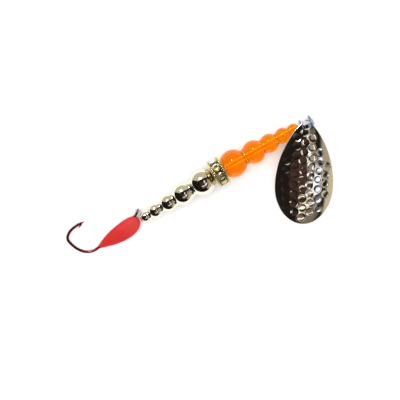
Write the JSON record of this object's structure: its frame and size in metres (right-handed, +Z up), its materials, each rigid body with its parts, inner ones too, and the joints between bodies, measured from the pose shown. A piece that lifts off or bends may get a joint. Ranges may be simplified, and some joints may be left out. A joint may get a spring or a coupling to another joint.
{
  "type": "inline spinner",
  "caption": "Trout spinner: hammered cupped blade on a folded clevis, tapered bead stacks, a stone-set rondelle and a painted hook, all on a nylon leader.",
  "frame": {"origin": "middle of the bounding box, on the table the lure lies on", "axes": "+X forwards along the leader towards the line, +Z up from the table, +Y towards the hook's point"},
  "size_m": [0.0746, 0.0314, 0.008],
  "materials": {
    "nylon": "clear nylon monofilament",
    "orange_bead": "translucent moulded plastic, polished",
    "chrome_bead": "metallised plastic, mirror finish with a warm tint",
    "gold_rim": "polished gold-plated stampings",
    "crystal": "faceted foil-backed stones",
    "blade_nickel": "hammered, bright nickel plate",
    "clevis_nickel": "bright nickel plate",
    "hook_red": "dark red metallic lacquer on steel wire",
    "body_paint": "fluorescent red paint, satin"
  },
  "bodies": {
    "leader": {"leader_line": "nylon", "hook_knot": "nylon"},
    "front_beads": {"front_bead_stack": "orange_bead"},
    "rondelle": {"rondelle_flange_front": "gold_rim", "rondelle_flange_rear": "gold_rim", "rondelle_core": "gold_rim", "rondelle_crystal_1": "crystal", "rondelle_crystal_2": "crystal", "rondelle_crystal_3": "crystal", "rondelle_crystal_4": "crystal", "rondelle_crystal_5": "crystal", "rondelle_crystal_6": "crystal", "rondelle_crystal_7": "crystal", "rondelle_crystal_8": "crystal"},
    "rear_beads": {"rear_bead_stack": "chrome_bead"},
    "clevis": {"clevis": "clevis_nickel"},
    "blade": {"blade": "blade_nickel"},
    "hook": {"hook": "hook_red", "hook_body": "body_paint"}
  },
  "joints": [
    {"name": "front_beads_spin", "type": "hinge", "parent": "leader", "child": "front_beads", "pos_m": [0.0119, 0.00859, 0.00381], "axis": [0.9954, -0.0115, -0.0951], "continuous": true},
    {"name": "rondelle_spin", "type": "hinge", "parent": "leader", "child": "rondelle", "pos_m": [0.00731, 0.00864, 0.00404], "axis": [1, 0, 0], "continuous": true},
    {"name": "rear_beads_spin", "type": "hinge", "parent": "leader", "child": "rear_beads", "pos_m": [0.0021, 0.00853, 0.00381], "axis": [0.9948, 0.0221, 0.0993], "continuous": true},
    {"name": "clevis_spin", "type": "hinge", "parent": "leader", "child": "clevis", "pos_m": [0.03436, 0.00833, 0.00166], "axis": [0.9954, -0.0115, -0.0951], "continuous": true},
    {"name": "blade_swing", "type": "hinge", "parent": "clevis", "child": "blade", "pos_m": [0.03457, 0.0076, 0.00404], "axis": [0.0388, 0.9559, 0.291], "range_deg": [0, 100]},
    {"name": "hook_swing", "type": "hinge", "parent": "leader", "child": "hook", "pos_m": [-0.01651, 0.01073, 0.00152], "axis": [-0.0549, -0.0102, 0.9984], "range_deg": [-80, 0]}
  ]
}
